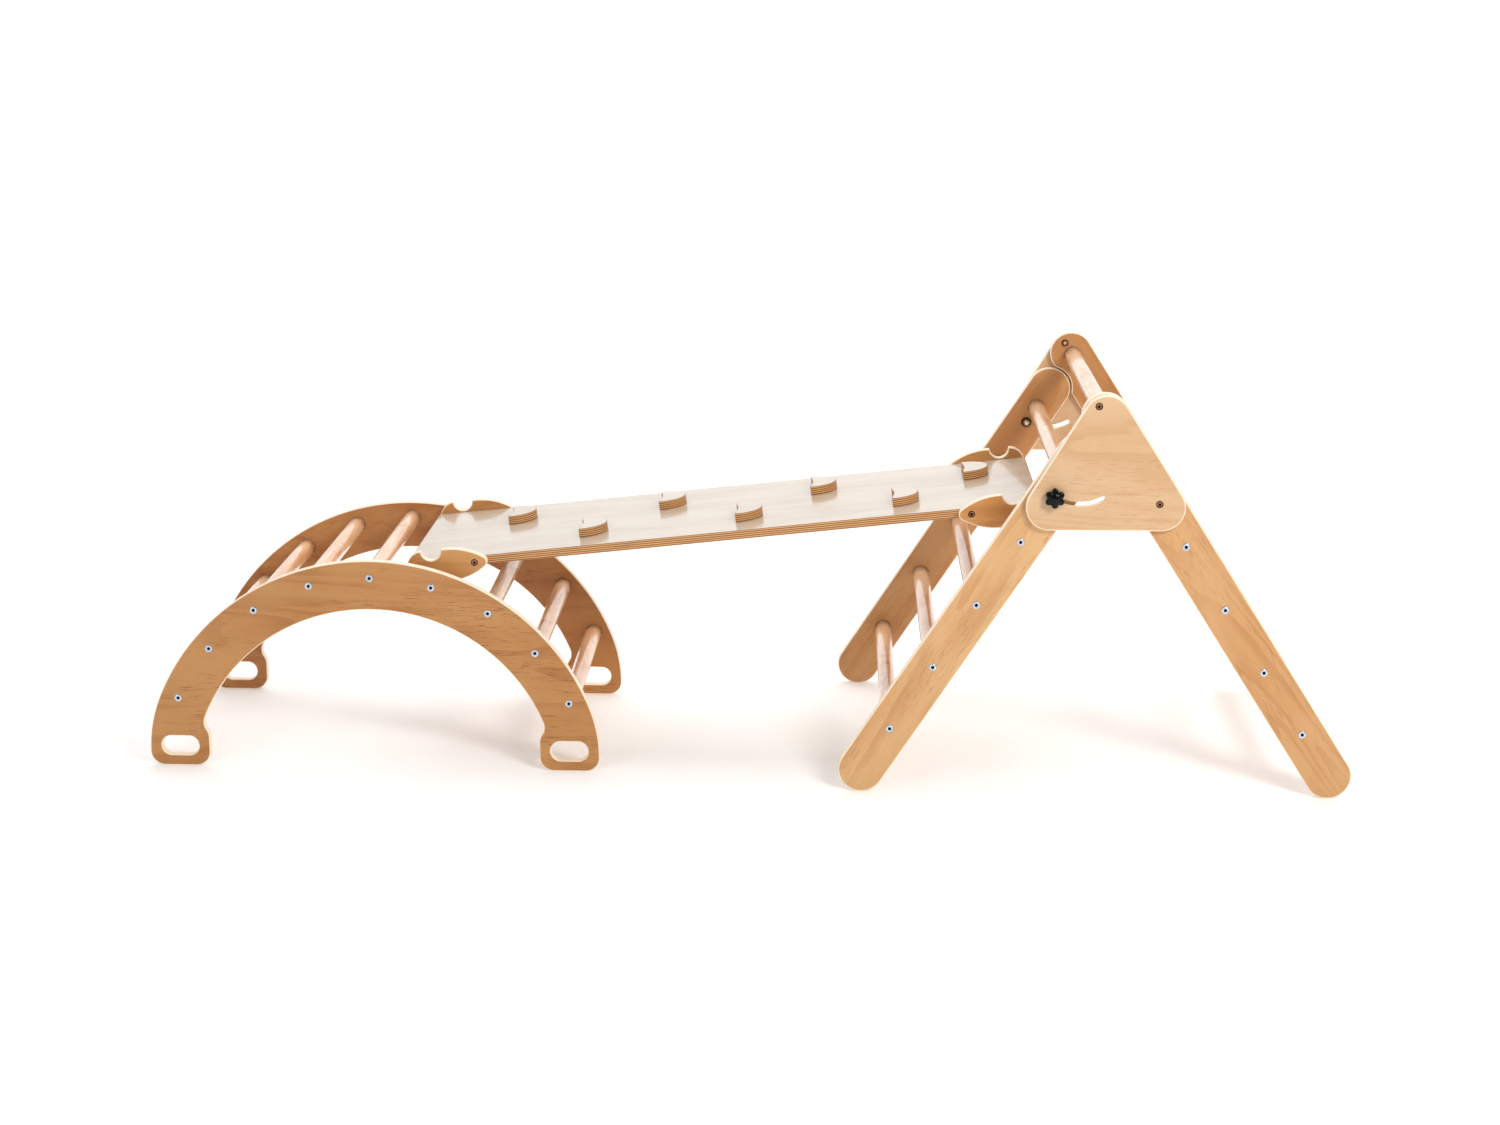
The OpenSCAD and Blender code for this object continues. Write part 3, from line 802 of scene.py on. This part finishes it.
RAIL = veneer(
    "rail_veneer", srgb(217, 177, 128), srgb(205, 157, 104), srgb(170, 112, 60), srgb(170, 100, 30),
    figure=0.36,
)
PLATE = veneer(
    "plate_veneer", srgb(214, 182, 145), srgb(205, 167, 126), srgb(180, 130, 83), srgb(190, 134, 78),
    dash=0.34, figure=0.3,
)
ARCH = veneer(
    "arch_veneer", srgb(193, 141, 85), srgb(181, 125, 69), srgb(147, 85, 38), srgb(152, 84, 26),
    dash=0.7, figure=0.4,
)
EAR = veneer(
    "ear_veneer", srgb(208, 154, 94), srgb(194, 136, 74), srgb(160, 98, 46), srgb(166, 100, 44),
    dash=0.4, figure=0.4,
)
DECK = veneer(
    "deck_lacquer", srgb(205, 191, 174), srgb(197, 179, 156), srgb(174, 147, 118), srgb(174, 147, 118),
    dash=0.2, figure=0.25, gloss=0.3, coat=0.65, coat_rough=0.08,
)
CREAM_EDGE = layered_edge("cream_edge", srgb(254, 242, 222), srgb(222, 180, 134), 0.36)
STRIPED_EDGE = layered_edge("striped_edge", srgb(220, 170, 108), srgb(138, 82, 38), 0.95)
RUNG = dowel_wood("rung_wood", srgb(244, 204, 166), srgb(224, 164, 114), srgb(164, 88, 44))
ZINC = metal("zinc_plate", srgb(214, 222, 234), srgb(168, 180, 200), 0.34)
BRONZE = metal("bronze_plate", srgb(178, 124, 90), srgb(104, 58, 38), 0.3, rim=5.3 * MM)
BRASSY = metal("yellow_zinc", srgb(186, 152, 92), srgb(120, 88, 46), 0.3)
DARK = metal("black_oxide", srgb(74, 56, 40), srgb(34, 24, 18), 0.35)
BLACK = moulded_plastic("knob_plastic", srgb(3, 3, 4), srgb(9, 9, 11))

# ---------------------------------------------------------------- the set

UPRIGHT = Matrix(((1, 0, 0, 0), (0, 0, 1, 0), (0, -1, 0, 0), (0, 0, 0, 1)))
front_rung_at = [centre(b) for b in islands("front_rungs")]
rear_rung_at = [centre(b) for b in islands("rear_rungs")]
arch_rung_at = [centre(b) for b in islands("arch_rungs")]


def lean(points):
    """Angle from +X of the line of rungs, from its lowest rung up."""
    low, high = sorted((points[0], points[-1]), key=lambda p: p.z)
    return math.atan2(high.z - low.z, high.x - low.x)


# the ramp's own frame: x up the board from the arch rung it hooks on, z out of the board
hooked = arch_rung_at[5]
slope = math.atan2(joint_at["ramp_tilt"].z - hooked.z, joint_at["ramp_tilt"].x - hooked.x)
ramp_flat = Matrix.Rotation(slope, 4, "Y") @ Matrix.Translation(-Vector((hooked.x, 0, hooked.z)))
ramp_upright = UPRIGHT @ ramp_flat

for side, seed in (("right", 0.0), ("left", 5.3)):
    def faces(outer, inner):
        """Tones of an upright sheet, whose low end of z is its outer face on the left side. The inner face gets
        the deeper tone: painted shade, with painted orange bounce light.
        """
        return (inner, outer) if side == "right" else (outer, inner)

    flat_piece(f"front_rail_{side}_ply", f"front_rail_{side}", UPRIGHT, [RAIL, CREAM_EDGE],
               along=lean(front_rung_at), round_r=2.0 * MM, seed=seed + 1.1, tone=faces(0.3, 0.65))
    flat_piece(f"rear_rail_{side}_ply", f"rear_rail_{side}", UPRIGHT, [RAIL, CREAM_EDGE],
               along=lean(rear_rung_at), round_r=2.0 * MM, seed=seed + 12.4, tone=faces(0.5, 0.9))
    flat_piece(f"side_plate_{side}_ply", f"side_plate_{side}", UPRIGHT, [PLATE, CREAM_EDGE],
               round_r=2.2 * MM, layers=7, seed=seed + 23.9, tone=faces(0.3, 0.3))
    flat_piece(f"arch_panel_{side}_ply", f"arch_panel_{side}", UPRIGHT, [ARCH, CREAM_EDGE],
               round_r=1.6 * MM, seed=seed + 31.7, tone=faces(0.25, 0.6))
    for end in ("arch", "triangle"):
        flat_piece(f"ear_{end}_{side}_ply", f"ear_{end}_{side}", ramp_upright, [EAR, CREAM_EDGE],
                   round_r=2.0 * MM, seed=seed + (41.3 if end == "arch" else 47.9), tone=faces(0.0, 0.45))

flat_piece("ramp_board_ply", "ramp_board", ramp_flat, [DECK, STRIPED_EDGE],
           round_r=1.2 * MM, seed=60.2, tone=(0.1, 0.1))
flat_piece("climbing_stones_ply", "climbing_stones", ramp_flat, [DECK, STRIPED_EDGE],
           round_r=1.4 * MM, seed=71.8, tone=(0.1, 0.1))

dowels("front_rungs_turned", "front_rungs", RUNG)
dowels("rear_rungs_turned", "rear_rungs", RUNG)
dowels("arch_rungs_turned", "arch_rungs", RUNG)

for node in ("front_rung_screws", "rear_rung_screws", "arch_rung_screws"):
    rung_screws(node + "_zinc", node, [ZINC])
for node in ("plate_bolts", "ear_bolts"):
    recessed_bolts(node + "_bronze", node, [BRONZE])
hexagon_nuts("plate_nuts_bronze", "plate_nuts", [BRONZE], apothem=4.76 * MM, flange=7.5 * MM)
hexagon_nuts("clamp_nuts_yellow", "clamp_nuts", [BRASSY], apothem=6.5 * MM)
washers("clamp_washers_dark", "clamp_washers", [DARK])
threaded_bars("clamp_bolts_zinc", "clamp_bolts", [ZINC])
threaded_bars("pivot_pins_zinc", "pivot_pins", [ZINC])
star_knob("clamp_knob_right_star", "clamp_knob_right", [BLACK])
star_knob("clamp_knob_left_star", "clamp_knob_left", [BLACK])
barrel_nuts("ear_barrel_nuts_zinc", "ear_barrel_nuts", [ZINC], ramp_flat)
hold_screws("stone_screws_zinc", "stone_screws", [ZINC], ramp_flat)

# ---------------------------------------------------------------- floor, light, camera


def floor():
    """Pale sweep: a floor that curves up into a backdrop behind the set."""
    mesh = bpy.data.meshes.new("floor")
    profile = [(-9.0, 0.0), (4.5, 0.0)]
    for k in range(1, 17):
        a = k / 16 * math.pi / 2
        profile.append((4.5 + 3 * math.sin(a), 3 - 3 * math.cos(a)))
    profile.append((7.5, 9.0))
    verts = [(x, y, z) for y, z in profile for x in (-14.0, 14.0)]
    faces = [(2 * i, 2 * i + 1, 2 * i + 3, 2 * i + 2) for i in range(len(profile) - 1)]
    mesh.from_pydata(verts, [], faces)
    mesh.shade_smooth()
    obj = bpy.data.objects.new("floor", mesh)
    bpy.context.scene.collection.objects.link(obj)
    n = Nodes("pale_floor")
    place = n.make("ShaderNodeTexCoord").outputs["Object"]
    cloud = n.noise(place, (0.8, 0.8, 0.8), detail=2)
    base = n.mix(n.step(cloud, 0.3, 0.7), srgb(250, 250, 250), srgb(246, 246, 246))
    n.surface.inputs["Emission Color"].default_value = (1, 1, 1, 1)
    mesh.materials.append(n.done(base, 0.75, Emission_Strength=0.12))


def area_light(name, place, target, size, power, colour=(1, 1, 1)):
    data = bpy.data.lights.new(name, "AREA")
    data.shape = "RECTANGLE"
    data.size, data.size_y = size
    data.energy = power
    data.color = colour
    obj = bpy.data.objects.new(name, data)
    obj.location = place
    obj.rotation_euler = (Vector(target) - Vector(place)).to_track_quat("-Z", "Y").to_euler()
    bpy.context.scene.collection.objects.link(obj)


floor()
area_light("key", (2.0, -3.0, 2.5), (0.2, 0.0, 0.35), (1.0, 1.0), 78, (1.0, 0.985, 0.96))
area_light("fill", (-3.2, -4.0, 2.0), (-0.4, 0.0, 0.3), (3.0, 2.4), 37)
area_light("top", (0.0, 0.9, 4.0), (0.0, 0.3, 0.3), (5.0, 3.0), 58)
area_light("backdrop", (0.0, 3.4, 4.6), (0.0, 6.5, 1.2), (9.0, 1.5), 165)


def studio_world():
    """Soft surroundings: bright behind and above the set, dimmer on the camera's side."""
    world = bpy.data.worlds.new("studio")
    bpy.context.scene.world = world
    world.use_nodes = True
    tree = world.node_tree
    place = tree.nodes.new("ShaderNodeTexCoord")
    parts = tree.nodes.new("ShaderNodeSeparateXYZ")
    ramp = tree.nodes.new("ShaderNodeMapRange")
    tree.links.new(place.outputs["Generated"], parts.inputs[0])
    tree.links.new(parts.outputs[1], ramp.inputs["Value"])
    for key, value in (("From Min", -0.7), ("From Max", 0.4), ("To Min", 0.35), ("To Max", 0.85)):
        ramp.inputs[key].default_value = value
    background = tree.nodes["Background"]
    background.inputs["Color"].default_value = (1, 1, 1, 1)
    tree.links.new(ramp.outputs[0], background.inputs["Strength"])


studio_world()
bpy.context.scene.view_settings.view_transform = "Standard"

# the photograph's viewpoint, fitted to where the set's screws, rungs, feet and edges appear in it
CAMERA_PLACE = (0.171, -5.142, 1.654)
SENSOR_WIDTH, LENS = 36, 61.2  # millimetres
yaw, pitch, roll = math.radians(-1.853), math.radians(14.06), math.radians(0.33)
ahead = Vector((math.sin(yaw) * math.cos(pitch), math.cos(yaw) * math.cos(pitch), -math.sin(pitch)))
across = Vector((math.cos(yaw), -math.sin(yaw), 0))
above = across.cross(ahead)
right_axis = across * math.cos(roll) + above * math.sin(roll)
up_axis = above * math.cos(roll) - across * math.sin(roll)
camera_data = bpy.data.cameras.new("camera")
camera_data.sensor_width = SENSOR_WIDTH
camera_data.lens = LENS
camera = bpy.data.objects.new("camera", camera_data)
bpy.context.scene.collection.objects.link(camera)
facing = Matrix((right_axis, up_axis, -ahead)).transposed().to_4x4()
camera.matrix_world = Matrix.Translation(CAMERA_PLACE) @ facing
bpy.context.scene.camera = camera
